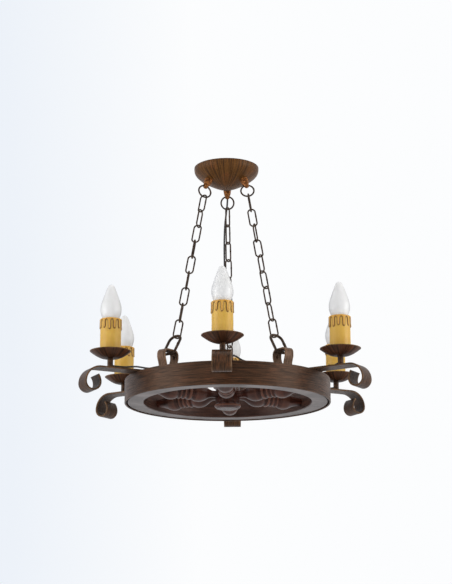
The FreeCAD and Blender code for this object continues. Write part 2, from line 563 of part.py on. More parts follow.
route = [CORD_EXIT + V(0, 0, -3.4), CORD_EXIT + V(0.3, 0.6, -19), beside(-2.5, 9.6, 28), beside(-6.3, 8.9, 56),
         beside(-7.6, 7.9, 100), beside(-7.2, 8.5, 144), beside(-7.4, 8.8, 180), beside(-9.0, 8.6, 212),
         beside(-12.0, 8.2, 244), beside(-15.6, 7.4, 276), beside(-19.4, 5.6, 306), V(-22.0, 160.6, -343.0),
         V(-23.3, 163.6, -360.0), V(-23.5, 164.1, -377.3)]
for p in route:
    print("   cord point (%.1f, %.1f, %.1f)" % (p.x, p.y, p.z))
save("power_cord", tube(route, CORD_D))
whole = Part.makeCompound(list(made.values())).BoundBox
print("nodes %d, box %.1f x %.1f x %.1f, z %.1f to %.1f" % (
    len(made), whole.XLength, whole.YLength, whole.ZLength, whole.ZMin, whole.ZMax))
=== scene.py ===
# %% [markdown]
# # A wagon wheel chandelier
# A small wooden cart wheel in an iron hoop hangs on three chains from a spun canopy. Six flat
# iron arms are screwed to the rim. Each ends in a scroll and carries a drip pan, a wax candle
# sleeve and a candle bulb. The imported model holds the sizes, the joints and the hidden parts.
# This file gives the pieces that are seen their finer shapes and their finishes.

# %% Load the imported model
import math
import bpy
import numpy as np
from mathutils import Matrix, Vector


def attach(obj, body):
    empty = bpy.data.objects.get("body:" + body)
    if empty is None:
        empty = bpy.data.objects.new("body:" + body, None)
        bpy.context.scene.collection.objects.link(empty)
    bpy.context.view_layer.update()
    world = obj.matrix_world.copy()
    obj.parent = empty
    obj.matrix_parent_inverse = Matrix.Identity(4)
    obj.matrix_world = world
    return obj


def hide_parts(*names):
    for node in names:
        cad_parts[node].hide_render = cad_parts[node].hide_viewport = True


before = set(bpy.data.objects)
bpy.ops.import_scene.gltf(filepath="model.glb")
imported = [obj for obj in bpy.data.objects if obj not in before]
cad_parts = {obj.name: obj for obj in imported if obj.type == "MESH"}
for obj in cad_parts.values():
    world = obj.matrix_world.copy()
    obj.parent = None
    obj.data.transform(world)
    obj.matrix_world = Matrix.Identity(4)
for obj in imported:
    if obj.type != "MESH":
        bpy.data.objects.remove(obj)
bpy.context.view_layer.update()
MM = 0.001

# %% [markdown]
# ## The camera
# The photographer stood low and looked up by about fourteen and a half degrees, so the wheel
# shows its underside. The place, direction and lens come from fitting the ellipses of the
# hoop, the pans and the canopy. The long side of the frame sets the lens, because the frame
# is upright.

# %% Camera at the photograph's viewing angle
camera_data = bpy.data.cameras.new("camera")
camera = bpy.data.objects.new("camera", camera_data)
bpy.context.scene.collection.objects.link(camera)
camera_data.sensor_fit = "VERTICAL"
camera_data.sensor_height = 36.0
LENS, LOOK, CAMERA_AT = 92.93, (-0.0343, 0.9675, 0.2506), (0.0876, -2.5189, -0.8772)
camera_data.lens = LENS
look = Vector(LOOK).normalized()
right = look.cross(Vector((0, 0, 1))).normalized()
roll = math.radians(-0.25)
level_up = right.cross(look)
turned_right = right * math.cos(roll) + level_up * math.sin(roll)
turned_up = turned_right.cross(look)
place = Matrix((turned_right, turned_up, -look)).transposed().to_4x4()
place.translation = Vector(CAMERA_AT)
camera.matrix_world = place
camera_data.clip_end = 50.0
bpy.context.scene.camera = camera
bpy.context.scene.view_settings.view_transform = "Standard"
print("camera pitch", round(math.degrees(math.asin(look.z)), 2))

# %% [markdown]
# ## Places on the wheel
# Every piece of the wheel is placed by its distance from the wheel's axis, its angle round the
# wheel and its height above the lower edge of the hoop. Angle zero is the front arm.

# %% Places on the wheel, in millimetres
HANG = 419.5            # from the ceiling down to the lower edge of the hoop
WHEEL_Y = 7.0           # the wheel hangs this far behind the canopy's middle
CANDLE_R = 218.0        # from the wheel's axis to each candle's
ARMS = ("front", "front_right", "back_right", "back", "back_left", "front_left")


def out(angle):
    """Unit vector away from the axis at an angle."""
    a = np.radians(angle)
    return np.stack([np.sin(a), -np.cos(a), 0 * a], axis=-1)


def along(angle):
    """Unit vector round the wheel, towards growing angles."""
    a = np.radians(angle)
    return np.stack([np.cos(a), np.sin(a), 0 * a], axis=-1)


def at(r, angle, z, side=0.0):
    """Point: axis + r times out + side times along + height."""
    return np.array([0, WHEEL_Y, z - HANG]) + out(angle) * r + along(angle) * side


UP = np.array([0.0, 0.0, 1.0])
print("front candle stands at", np.round(at(CANDLE_R, 0, 60), 1))

# %% [markdown]
# ## The cord beside the back chain
# A thin black cord comes out of the canopy through a rubber grommet, wanders down beside the
# back chain and drops into the groove on top of the wheel. A real cord of this thickness is
# limp, so its line is one smooth curve. A NURBS curve needs only a few points for that.

# %% Cord
CORD = ((0.0, 50.5, -25.4), (0.3, 51.1, -41.0), (-2.5, 59.7, -61.6), (-6.3, 68.8, -88.1),
        (-7.6, 83.2, -129.7), (-7.2, 99.1, -170.7), (-7.4, 111.9, -204.4), (-9.0, 122.9, -234.4),
        (-12.0, 133.7, -264.6), (-15.6, 144.1, -294.8), (-19.4, 152.9, -323.6),
        (-22.0, 160.6, -343.0), (-23.3, 163.6, -360.0), (-23.5, 164.1, -377.3))
CORD_D = 3.2
curve = bpy.data.curves.new("power_cord_line", "CURVE")
curve.dimensions = "3D"
spline = curve.splines.new("NURBS")
spline.points.add(len(CORD) - 1)
spline.points.foreach_set("co", np.c_[np.array(CORD) * MM, np.ones(len(CORD))].ravel())
spline.order_u = 3
spline.use_endpoint_u = True
spline.resolution_u = 16
# A point's radius scales the bevel and widens the curve's box, so it is small here.
spline.points.foreach_set("radius", np.full(len(CORD), MM))
curve.bevel_depth = CORD_D / 2
curve.bevel_resolution = 6
curve.use_fill_caps = True
cord = bpy.data.objects.new("flex_cord", curve)
bpy.context.scene.collection.objects.link(cord)
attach(cord, "chain_back")
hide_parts("power_cord")
print("cord points", len(CORD))

# %% [markdown]
# ## Surfaces from grids
# A turned, bent or drawn piece is a function of two numbers: how far along the piece and how
# far round it. Numpy works out the whole grid of points at once. Rows run along the piece and
# columns run round it. A short mesh call joins neighbours into four-sided faces, and the sign
# of the enclosed volume says whether the faces have to be turned outwards.

# %% Grid to faces
def grid_patch(points, ring=False, marks=None, uv=None):
    """Closed patch from points[row, column]: columns always close, rows close for a ring,
    otherwise one face caps each end. Returns vertices, faces, marks and face-corner UVs."""
    rows, cols = points.shape[:2]
    index = np.arange(rows * cols).reshape(rows, cols)
    last = rows if ring else rows - 1
    i = np.arange(last)[:, None]
    j = np.arange(cols)[None, :]
    i2, j2 = (i + 1) % rows, (j + 1) % cols
    quads = np.stack([index[i + 0 * j, j + 0 * i], index[i + 0 * j, j2 + 0 * i],
                      index[i2 + 0 * j, j2 + 0 * i], index[i2 + 0 * j, j + 0 * i]], axis=-1)
    quads = quads.reshape(-1, 4)
    verts = points.reshape(-1, 3)
    caps = [] if ring else [index[0][::-1], index[-1]]
    a, b, c, d = (verts[quads[:, k]] for k in range(4))
    volume = np.einsum("ij,ij->i", a, np.cross(b, c) + np.cross(c, d)).sum()
    if not ring:
        for cap in caps:
            p = verts[cap]
            volume += np.einsum("ij,ij->i", p[:1].repeat(len(p) - 2, 0),
                                np.cross(p[1:-1], p[2:])).sum()
    corner = None
    if uv is not None:
        ui, uj = i + 0 * j, j + 0 * i
        corner = np.stack([uv[ui, uj], uv[ui, uj + 1], uv[ui + 1, uj + 1], uv[ui + 1, uj]], axis=2)
        corner = corner.reshape(-1, 4, 2)
    if volume < 0:
        quads = quads[:, ::-1]
        caps = [cap[::-1] for cap in caps]
        corner = corner[:, ::-1] if corner is not None else None
    marks = {k: np.broadcast_to(v, (rows, cols)).reshape(-1) for k, v in (marks or {}).items()}
    return verts, quads, caps, marks, corner


print("helper: grid_patch")



# %% Patches to one object
def build(name, body, patches, stands_for=(), sharp=35.0):
    """One mesh object from several closed patches, riding on a body."""
    start, verts, faces, corners = 0, [], [], []
    names = {k for patch in patches for k in patch[3]}
    marks = {k: [] for k in names}
    for v, quads, caps, m, corner in patches:
        verts.append(v)
        faces += (quads + start).tolist() + [(c + start).tolist() for c in caps]
        flat = corner.reshape(-1, 2) if corner is not None else np.zeros((quads.size, 2))
        corners.append(np.r_[flat, np.zeros((sum(len(c) for c in caps), 2))])
        for k in names:
            marks[k].append(m.get(k, np.zeros(len(v))))
        start += len(v)
    mesh = bpy.data.meshes.new(name)
    mesh.from_pydata((np.concatenate(verts) * MM).tolist(), [], faces)
    mesh.polygons.foreach_set("use_smooth", np.ones(len(mesh.polygons), dtype=bool))
    layer = mesh.uv_layers.new(name="UVMap")
    layer.data.foreach_set("uv", np.concatenate(corners).astype(np.float32).ravel())
    for k in names:
        attribute = mesh.attributes.new(k, "FLOAT", "POINT")
        attribute.data.foreach_set("value", np.concatenate(marks[k]).astype(np.float32))
    mesh.validate()
    mesh.set_sharp_from_angle(angle=math.radians(sharp))
    piece = bpy.data.objects.new(name, mesh)
    bpy.context.scene.collection.objects.link(piece)
    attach(piece, body)
    if stands_for:
        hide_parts(*stands_for)
    print(name, len(mesh.polygons), "faces")
    return piece


# %% [markdown]
# ## Small unevenness
# Forged straps, hand-bent scrolls and dipped wax are never quite flat. A sum of a few sine
# waves with fixed phases gives a soft unevenness that is the same on each run. Whole numbers
# of waves round a ring keep its seam closed.

# %% Unevenness
def ripple(u, v, seed, waves=7, reach=4.0):
    """Sum of sine waves over u and v, between about -1 and 1. Both repeat every 2 pi."""
    rng = np.random.default_rng(seed)
    total = 0.0
    for k in range(waves):
        a, b = rng.integers(1, int(reach * (1 + k / 2)) + 1, 2)
        total = total + np.sin(a * u * rng.choice((-1, 1)) + b * v + rng.uniform(0, 6.28))
    return total / math.sqrt(waves * 2.0)


def smooth(x, low, high):
    """Zero below low, one above high, and an S-shaped rise between."""
    t = np.clip((x - low) / (high - low), 0, 1)
    return t * t * (3 - 2 * t)


print("ripple reaches", round(float(np.abs(ripple(np.linspace(0, 6.28, 200), 0, 1)).max()), 2))



# %% [markdown]
# ## Turned pieces
# The spokes, the hub, the pans and the canopy were all turned or spun, so each is a profile
# of radius against height, swept round an axis. The profile is thinned or filled to even
# steps with a smooth curve through the maker's points, and the grooves stay crisp because
# their points lie close together.

# %% Profile and lathe
def resample(points, count):
    """Even steps along a profile: piecewise cubic through the points by their running length."""
    p = np.array(points, dtype=float)
    s = np.r_[0, np.cumsum(np.hypot(*np.diff(p, axis=0).T))]
    slope = np.gradient(p, s, axis=0)
    t = np.linspace(0, s[-1], count)
    k = np.clip(np.searchsorted(s, t, side="right") - 1, 0, len(s) - 2)
    h = s[k + 1] - s[k]
    x = ((t - s[k]) / h)[:, None]
    h = h[:, None]
    curve = ((2 * x ** 3 - 3 * x ** 2 + 1) * p[k] + (x ** 3 - 2 * x ** 2 + x) * h * slope[k]
             + (3 * x ** 2 - 2 * x ** 3) * p[k + 1] + (x ** 3 - x ** 2) * h * slope[k + 1])
    return curve


def frame_at(origin, x, z):
    """Matrix whose columns are the piece's own x, y and z directions, and its origin."""
    x, z = np.array(x, float), np.array(z, float)
    z = z / np.linalg.norm(z)
    x = x - z * (x @ z)
    x = x / np.linalg.norm(x)
    return np.array(origin, float), np.stack([x, np.cross(z, x), z], axis=1)


def put(points, place):
    """Points of a piece's own axes set in place."""
    return points @ place[1].T + place[0]


def lathe(profile, place, cols=64, ring=False, marks=None, relief=None):
    """Closed solid of revolution: r(t) cos, r(t) sin, z(t), set in place. UV is in metres."""
    r, z = profile[:, 0][:, None], profile[:, 1][:, None]
    theta = np.arange(cols)[None, :] / cols * 2 * math.pi
    if relief is not None:
        r = r + relief
    points = np.stack([r * np.cos(theta), r * np.sin(theta), z + 0 * theta], axis=-1)
    run = np.r_[0, np.cumsum(np.hypot(*np.diff(profile, axis=0).T))]
    run = np.r_[run, run[-1] + 1.0]
    uv = np.stack(np.broadcast_arrays(run[:, None] * MM,
                                      np.arange(cols + 1)[None, :] / cols), axis=-1)
    return grid_patch(put(points, place), ring=ring, marks=marks, uv=uv)


print("lathe ready")

# %% [markdown]
# ## Straps
# An arm is a flat bar bent on a scroll jig: a straight run, a quarter turn down, a tight half
# turn back and a short tail. The path is straight runs and arcs. A rounded rectangle rides
# along it, so the corners catch light as worn forged corners do, and a mark is kept for where
# the finish is rubbed.

# %% Bent paths and the strap's section
def bent_path(start, heading, legs, step=1.6):
    """Points and headings along runs and bends: ("run", length) or ("bend", radius, degrees)."""
    x, z, h = start[0], start[1], math.radians(heading)
    points, heads = [], []
    for leg in legs:
        if leg[0] == "run":
            t = np.linspace(0, leg[1], max(int(leg[1] / step), 2), endpoint=False)
            points.append(np.stack([x + math.cos(h) * t, z + math.sin(h) * t], axis=1))
            heads.append(np.full(len(t), h))
            x, z = x + math.cos(h) * leg[1], z + math.sin(h) * leg[1]
        else:
            turn = math.radians(leg[2])
            s = math.copysign(1.0, turn)
            cx, cz = x + math.sin(h) * leg[1] * s, z - math.cos(h) * leg[1] * s
            t = np.linspace(0, turn, max(int(abs(turn) * leg[1] / step * 1.4), 6), endpoint=False)
            a = h - t
            points.append(np.stack([cx - np.sin(a) * leg[1] * s,
                                    cz + np.cos(a) * leg[1] * s], axis=1))
            heads.append(a)
            h -= turn
            x, z = cx - math.sin(h) * leg[1] * s, cz + math.cos(h) * leg[1] * s
    points.append(np.array([[x, z]]))
    heads.append(np.array([h]))
    return np.concatenate(points), np.concatenate(heads)


def strap_section(width, thick, corner=0.7, flats=14):
    """Rounded rectangle: side, depth and how near each point is to a long corner."""
    w, t = width / 2 - corner, thick / 2 - corner
    side, depth = [], []
    for cx, cz, a0 in ((w, t, 0), (-w, t, 90), (-w, -t, 180), (w, -t, 270)):
        a = np.radians(a0 + np.linspace(0, 90, 4))
        side.append(cx + corner * np.cos(a))
        depth.append(cz + corner * np.sin(a))
        if a0 in (0, 180):
            s = np.linspace(cx, -cx, flats + 2)[1:-1]
            side.append(s)
            depth.append(np.full(flats, math.copysign(thick / 2, cz)))
    side, depth = np.concatenate(side), np.concatenate(depth)
    edge = smooth(np.abs(side), width / 2 - 1.4, width / 2 - 0.5)
    return side, depth, edge, edge * smooth(np.abs(depth), thick / 2 - 1.1, thick / 2 - 0.2)


def strap(place, path, width, thick, seed, uneven=0.22):
    """A strap swept along a path in the plane of the place's x and z axes."""
    (xz, head), (side, depth, edge, corner) = path, strap_section(width, thick)
    run = np.r_[0, np.cumsum(np.hypot(*np.diff(xz, axis=0).T))]
    u, v = run[:, None] / run[-1] * 2 * math.pi, side[None, :] / width * math.pi
    wave = ripple(u * 2, v, seed) * uneven * np.sign(depth)[None, :] * (1 - edge)
    d = depth[None, :] - np.abs(wave) * np.sign(depth)[None, :] * 0.8
    w = side[None, :] * (1 + 0.004 * ripple(u * 3, 0 * v, seed + 1))
    nx, nz = -np.sin(head)[:, None], np.cos(head)[:, None]
    points = np.stack([xz[:, 0:1] + nx * d, w + 0 * d, xz[:, 1:2] + nz * d], axis=-1)
    ends = np.maximum(smooth(run, run[-1] - 1.6, run[-1] - 0.4), smooth(-run, -1.6, -0.4))
    rub = np.maximum(corner[None, :], ends[:, None])
    uv = np.stack(np.broadcast_arrays(np.r_[run, run[-1] + 1][:, None] * MM,
                                      np.r_[side, side[0]][None, :] * MM), axis=-1)
    return grid_patch(put(points, place), marks={"rub": rub}, uv=uv)


print("strap section", len(strap_section(31.0, 2.8)[0]), "points")



# %% Arms
ARM_WIDTH, STRAP_T, HOOP_H = 31.0, 2.8, 39.1
ARM_START, ARM_RUN = 147.2, 92.8
SCROLL = {"front": (24.5, 12.6, 20.0, 40), "front_right": (26.0, 13.9, 22.0, 36),
          "back_right": (28.0, 13.0, 19.0, 44), "back": (26.5, 13.0, 20.0, 40),
          "back_left": (28.5, 13.2, 20.0, 42), "front_left": (27.5, 14.2, 21.0, 38)}
for i, name in enumerate(ARMS):
    drop, curl, tail, sweep = SCROLL[name]
    half = STRAP_T / 2
    path = bent_path((ARM_START, HOOP_H + half), 0,
                     (("run", ARM_RUN), ("bend", drop - half, 90),
                      ("bend", curl - half, 180), ("bend", tail, sweep)))
    spot = frame_at(at(0, 60 * i, 0), out(60 * i), UP)
    patch = strap(spot, path, ARM_WIDTH, STRAP_T, seed=11 + i)
    build("scroll_arm_" + name, "wheel", [patch], ["arm_" + name])
print("arms", len(ARMS), "of strap", ARM_WIDTH, "x", STRAP_T, "mm")


# %% Brackets
SWAY, BEND_R, CROWN_R, FOOT_HALF, SUNK = 19.0, 12.0, 7.5, 12.4, 14.5
ARCH_R, ARCH_WIDTH = 157.5, 16.5
LEG = (("run", 15.5), ("bend", BEND_R, -SWAY), ("run", 8.0), ("bend", BEND_R, SWAY), ("run", 3.3),
       ("bend", CROWN_R, 90.0))
FLARE = 2 * BEND_R * (1 - math.cos(math.radians(SWAY))) + 8.0 * math.sin(math.radians(SWAY))
ARCH = LEG + (("run", 2 * (FOOT_HALF + FLARE - CROWN_R)),) + LEG[::-1]
FEET = {"left": (-36, 0.0), "right": (37, 0.0), "back": (180, STRAP_T)}
for n, (name, (angle, lift)) in enumerate(FEET.items()):
    path = bent_path((-FOOT_HALF, HOOP_H - SUNK + lift), 90, ARCH, step=1.0)
    spot = frame_at(at(ARCH_R, angle, 0), out(angle), UP)
    patch = strap(spot, path, ARCH_WIDTH, STRAP_T, seed=31 + n, uneven=0.15)
    build("hanging_bracket_" + name, "wheel", [patch], ["bracket_" + name])
print("arch half width", round(FOOT_HALF + FLARE, 2), "mm")


# %% [markdown]
# ## The iron hoop
# The hoop is a flat band closed into a ring, with softened edges. Its outer face keeps the
# long marks of rolling and filing, and it is a little uneven all the way round.

# %% Hoop
def band_profile(r_in, r_out, z0, z1, corner, rows):
    """Closed rounded rectangle in radius and height, with rows along its tall faces."""
    loops = []
    for cx, cz, a0 in ((r_out - corner, z0 + corner, 270), (r_out - corner, z1 - corner, 0),
                       (r_in + corner, z1 - corner, 90), (r_in + corner, z0 + corner, 180)):
        a = np.radians(a0 + np.linspace(0, 90, 5))
        loops.append(np.stack([cx + corner * np.cos(a), cz + corner * np.sin(a)], axis=1))
        if a0 in (270, 90):
            rise = np.linspace(z0 + corner, z1 - corner, rows + 2)[1:-1]
            rise = rise if a0 == 270 else rise[::-1]
            loops.append(np.stack([np.full(rows, r_out if a0 == 270 else r_in), rise], axis=1))
    return np.concatenate(loops)


HOOP_COLS, HOOP_R, HOOP_IN = 300, 175.0, 172.2
profile = band_profile(HOOP_IN, HOOP_R, 0.0, HOOP_H, 0.7, 16)
theta = np.arange(HOOP_COLS)[None, :] / HOOP_COLS * 2 * math.pi
outer_face = smooth(profile[:, 0], 174.2, 174.9)[:, None]
dents = -0.28 * outer_face * np.clip(ripple(theta * 3, profile[:, 1:2] / 12.0, 5, 9), 0, 1)
edge = np.maximum(smooth(profile[:, 1], HOOP_H - 1.4, HOOP_H - 0.3),
                  smooth(-profile[:, 1], -1.4, -0.3))
hoop = lathe(profile, frame_at(at(0, 0, 0), (1, 0, 0), UP), HOOP_COLS, ring=True,
             marks={"rub": (edge * smooth(profile[:, 0], 173.6, 174.4))[:, None]}, relief=dents)
build("iron_tyre", "wheel", [hoop], ["iron_hoop"])
print("hoop", 2 * HOOP_R, "mm across")


# %% [markdown]
# ## Spokes
# Each spoke is turned from one square of wood, with two long swellings and three small beads
# between them. The crests of the beads are painted lighter and redder, so a crest mark is the
# radius less its own running average.

# %% Spokes
SPOKE = [(20.9, 5.9), (26, 5.9), (31, 6.2), (36, 7.8), (41, 10.4), (47, 13.4), (54, 15.1),
         (60, 15.0), (65, 13.8), (67.2, 12.7), (68.0, 11.6), (68.6, 11.0), (70.6, 10.8), (71.1, 11.6),
         (72.4, 12.8), (74.4, 13.3), (76.4, 12.8), (77.7, 11.6), (78.2, 10.8), (80.6, 10.6),
         (81.2, 11.4), (82.3, 12.2), (83.8, 12.5), (85.3, 12.2), (86.4, 11.4), (87.0, 10.6),
         (89.2, 10.8), (89.8, 11.6), (90.8, 12.4), (92.2, 12.7), (93.6, 12.4), (94.6, 11.6),
         (95.2, 11.0), (96.4, 11.1), (97.2, 12.2), (99, 13.4), (102.5, 14.7), (107.5, 15.4),
         (113, 14.9), (119, 12.7), (125, 10.3), (131, 8.5), (137, 7.4), (143.5, 6.9)]
spoke_profile = resample([(r, s) for s, r in SPOKE], 190)
around = np.convolve(np.pad(spoke_profile[:, 0], 12, "edge"), np.ones(25) / 25, "valid")
crest = smooth(spoke_profile[:, 0] - around, 0.25, 1.1)[:, None]
SPOKE_Z = 14.7
spokes = [lathe(spoke_profile, frame_at(at(0, 60 * i, SPOKE_Z), UP, out(60 * i)), 56,
                marks={"crest": crest}) for i in range(6)]
build("turned_spokes", "wheel", spokes, ["spokes"], sharp=50)
print("spoke's thickest radius", round(float(spoke_profile[:, 0].max()), 2), "mm")


# %% Hub
HUB = [(17.6, -8.4), (18.4, -8.1), (19.0, -7.5), (20.6, -6.6), (21.8, -5.4), (22.5, -4.1),
       (22.5, -2.9), (21.8, -1.7), (20.8, -0.8), (20.2, 0.0), (20.1, 1.2), (20.4, 6), (20.7, 14.7),
       (20.4, 24), (20.1, 29.0), (20.2, 30.2), (20.8, 31.0), (21.8, 31.9), (22.5, 33.1), (22.5, 34.3),
       (21.8, 35.6), (20.6, 36.8), (19.0, 37.7), (18.4, 38.3), (17.6, 38.6)]
HUB_FOOT = [(0.6, -8.4), (9.0, -8.4)]
HUB_BORE = [(4.4, 38.6), (4.0, 38.2), (4.0, 20.0), (0.6, 20.0)]
hub_profile = np.concatenate([HUB_FOOT, resample(HUB, 120), HUB_BORE])
flange_crest = smooth(hub_profile[:, 0], 21.4, 22.4)[:, None]
build("turned_hub", "wheel", [lathe(hub_profile, frame_at(at(0, 0, 0), (1, 0, 0), UP), 96,
                                    marks={"crest": flange_crest})], ["hub"], sharp=40)
print("hub height", HUB[-1][1] - HUB[0][1], "mm")


# %% [markdown]
# ## Drip pans and canopy
# Both were spun over a former from thin sheet. A pan's rim is turned back on itself, which
# leaves a small bead round the edge. The canopy has a short straight lip against the ceiling.

# %% Pans
PAN = [(4.9, 57.6), (9, 57.7), (14, 58.5), (19, 60.3), (25, 63.6), (30, 67.0), (32.6, 69.0),
       (33.4, 69.5), (33.9, 69.9), (33.8, 70.5), (33.2, 70.8), (32.6, 70.6), (32.0, 69.9),
       (29.2, 68.0), (24.3, 64.7), (18.4, 61.4), (13.6, 59.7), (9, 58.9), (4.9, 58.8)]
pan_profile = resample(PAN, 90)
pan_profile = np.concatenate([pan_profile, [[4.9, 58.2]]])
PAN_COLS = 96
theta = np.arange(PAN_COLS)[None, :] / PAN_COLS * 2 * math.pi
pan_r, pan_z = pan_profile[:, 0:1], pan_profile[:, 1:2]
for i, name in enumerate(ARMS):
    hammered = 0.16 * ripple(theta, pan_z * 0.5, 50 + i) * smooth(pan_r, 14, 24)
    spot = frame_at(at(CANDLE_R, 60 * i, 0), out(60 * i + 25 * i), UP)
    patch = lathe(pan_profile, spot, PAN_COLS, ring=True,
                  marks={"rub": smooth(pan_r, 32.4, 33.8)}, relief=hammered)
    build("spun_pan_" + name, "wheel", [patch], ["drip_pan_" + name])
print("pan radius", round(float(pan_r.max()), 2), "mm")


# %% Canopy
DOME = [(56.6, 0), (56.6, -2.4), (56.4, -5), (55.2, -9.5), (52.5, -13.5), (48, -17.8),
        (42, -22.3), (35, -26.6), (28, -30.2), (22, -33.2), (16, -35.6), (8, -37.3), (0.8, -37.6)]
SHEET = 1.2
dome = resample(DOME, 70)
back_r, back_z = dome[::-1].T
inner = np.stack([np.clip(back_r - SHEET * smooth(back_r, 20, 56), 0.8, None),
                  np.minimum(back_z + SHEET * smooth(-back_z, 0, 12), 0.0)], axis=1)
shell = np.concatenate([dome, inner])
# The edge mark on the canopy covers its top lip, which the canopy's finish paints darker.
canopy = lathe(shell, frame_at((0, 0, 0), (1, 0, 0), UP), 144, ring=True,
               marks={"rub": smooth(shell[:, 1:2], -1.6, -0.6)})
build("spun_canopy", "canopy", [canopy], ["canopy"])
print("canopy radius", DOME[0][0], "mm")


# %% [markdown]
# ## Rings and chain
# A link is a piece of wire bent round two pins and welded at one side, which leaves a small
# swelling. The path of a link is two straight sides and two round ends. A circle of points
# follows it, turned square to the path at each step.

# %% Wire loops
def link_path(length, width, low, high, step=1.0):
    """Closed path in the plane of x and z: straight sides and rounded corners, from the low end."""
    w = width / 2
    legs = (("run", w - low), ("bend", low, -90), ("run", length - low - high), ("bend", high, -90),
            ("run", 2 * (w - high)), ("bend", high, -90), ("run", length - low - high),
            ("bend", low, -90), ("run", w - low))
    legs = [leg for leg in legs if leg[1] > 0.05]
    points, heads = bent_path((0, 0), 0, legs, step)
    return points[:-1], heads[:-1]


def wire_loop(place, path, wire, weld=0.0, seed=0, cols=14):
    """Closed ring of wire round a path, with a weld's swelling halfway up one side."""
    xz, head = path
    run = np.r_[0, np.cumsum(np.hypot(*np.diff(xz, axis=0).T))]
    whole = run[-1] + np.hypot(*(xz[0] - xz[-1]))
    t = run[:, None] / whole
    a = np.arange(cols)[None, :] / cols * 2 * math.pi
    swell = weld * np.exp(-((t - 0.27) * whole / 1.7) ** 2)
    r = wire * (0.97 + 0.03 * ripple(t * 2 * math.pi, a, seed)) + swell
    nx, nz = -np.sin(head)[:, None], np.cos(head)[:, None]
    points = np.stack([xz[:, 0:1] + nx * r * np.cos(a), r * np.sin(a),
                       xz[:, 1:2] + nz * r * np.cos(a)], axis=-1)
    uv = np.stack(np.broadcast_arrays(np.r_[run, whole][:, None] * MM,
                                      np.arange(cols + 1)[None, :] / cols), axis=-1)
    bare = np.clip(np.cos(t * 4 * math.pi), 0, 1) ** 6
    return grid_patch(put(points, place), ring=True, marks={"rub": bare}, uv=uv)


print("helpers: link_path, wire_loop")



# %% Rings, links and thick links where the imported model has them
LINK_L, LINK_W, LINK_WIRE = 34.49, 12.3, 1.35
HOOK_L, HOOK_W, HOOK_WIRE = 40.0, 23.4, 2.3
RING_R, RING_WIRE, EYE_TILT = 11.3, 1.45, math.radians(26.0)
TWIST = {"left": (30, 115, 5, 92, 0, 88, 2, 90, -18),
         "right": (88, 3, 76, -8, 58, -36, 48, -54, 14),
         "back": (57, -60, 47, -38, 50, -42, 48, -45, 45)}
HUNG = (("left", -60.0, -36.0, -28.0), ("right", 60.0, 37.0, 0.0), ("back", 180.0, 180.0, 0.0))
EYE_R, EYE_Z, EYE_DROP = 35.0, 26.6, 13.5       # where a screw eye leaves the dome, and its hole
SIDE_R, BACK_R, FOOT_Z = 157.0, 152.0, 60.6     # where a thick link rests under its bracket
LEAN_R, LEAN_Z = 135.4, 94.2                    # where the side ones point, out of line


def turn_about(axis, degrees, v):
    """Rodrigues' formula: v turned about a unit axis."""
    a = math.radians(degrees)
    return v * math.cos(a) + np.cross(axis, v) * math.sin(a) + axis * (axis @ v) * (1 - math.cos(a))


ring_path = link_path(2 * RING_R, 2 * RING_R, RING_R - 0.001, RING_R - 0.001, 0.8)
oval = link_path(LINK_L, LINK_W, LINK_W / 2 - 0.01, LINK_W / 2 - 0.01, 0.9)
thick = link_path(HOOK_L, HOOK_W, 6.0, 11.0, 0.9)
for name, eye_angle, foot_angle, turn in HUNG:
    o = out(eye_angle)
    axis = o * math.sin(EYE_TILT) - UP * math.cos(EYE_TILT)
    hole = o * EYE_R - UP * EYE_Z + axis * EYE_DROP
    if name == "back":
        foot = at(BACK_R, foot_angle, FOOT_Z + STRAP_T)
        lean = hole - foot
    else:
        foot = at(SIDE_R, foot_angle, FOOT_Z)
        lean = at(LEAN_R, foot_angle, LEAN_Z) - foot
    bend = foot + lean / np.linalg.norm(lean) * HOOK_L
    d = (bend - hole) / np.linalg.norm(bend - hole)
    flat = np.array([1.0, 0, 0]) - d * d[0]
    flat = flat / np.linalg.norm(flat)
    low = hole + d * 2 * RING_R
    spot = frame_at(low, turn_about(d, turn, flat), -d)
    ring = wire_loop(spot, ring_path, RING_WIRE, 0.2, 3, 18)
    build("eye_ring_" + name, "ring_" + name, [ring], ["ring_" + name])
    fixed = RING_WIRE + LINK_WIRE + 16 * LINK_WIRE + LINK_WIRE + HOOK_WIRE
    gap = (9 * LINK_L - fixed - np.linalg.norm(bend - low)) / 10
    top = low - d * (RING_WIRE + LINK_WIRE + gap)
    links = []
    for k, angle in enumerate(TWIST[name]):
        spot = frame_at(top + d * LINK_L, turn_about(d, angle, flat), -d)
        links.append(wire_loop(spot, oval, LINK_WIRE, 0.22, k))
        top = top + d * (LINK_L - LINK_WIRE - (LINK_WIRE if k < 8 else HOOK_WIRE) - gap)
    hook = wire_loop(frame_at(foot, along(foot_angle), bend - foot), thick, HOOK_WIRE, 0.3, 40, 18)
    if name == "back":
        build("hook_link_round_back", "hook_back", [hook], ["hook_link_back"])
    else:
        links.append(hook)
    build("links_" + name, "chain_" + name, links, ["chain_" + name])
print("links", sum(len(t) for t in TWIST.values()), "and thick links", len(HUNG))


# %% [markdown]
# ## Candle sleeves
# The sleeves imitate wax candles. A thicker collar at the top ends in a row of short drips,
# and a brown line follows their edge, like a meander. The line is a wave whose sides stand
# upright: the arc length gets a second, faster sine. The nearest distance to that wave gives
# both the raised drips and the mark for the brown line.

# %% The meander of the drips
SLEEVE_R, SLEEVE_IN, SLEEVE_TOP, SLEEVE_LOW = 17.2, 14.3, 124.0, 62.6
LOBES = 12
PITCH = 2 * math.pi * SLEEVE_R / LOBES


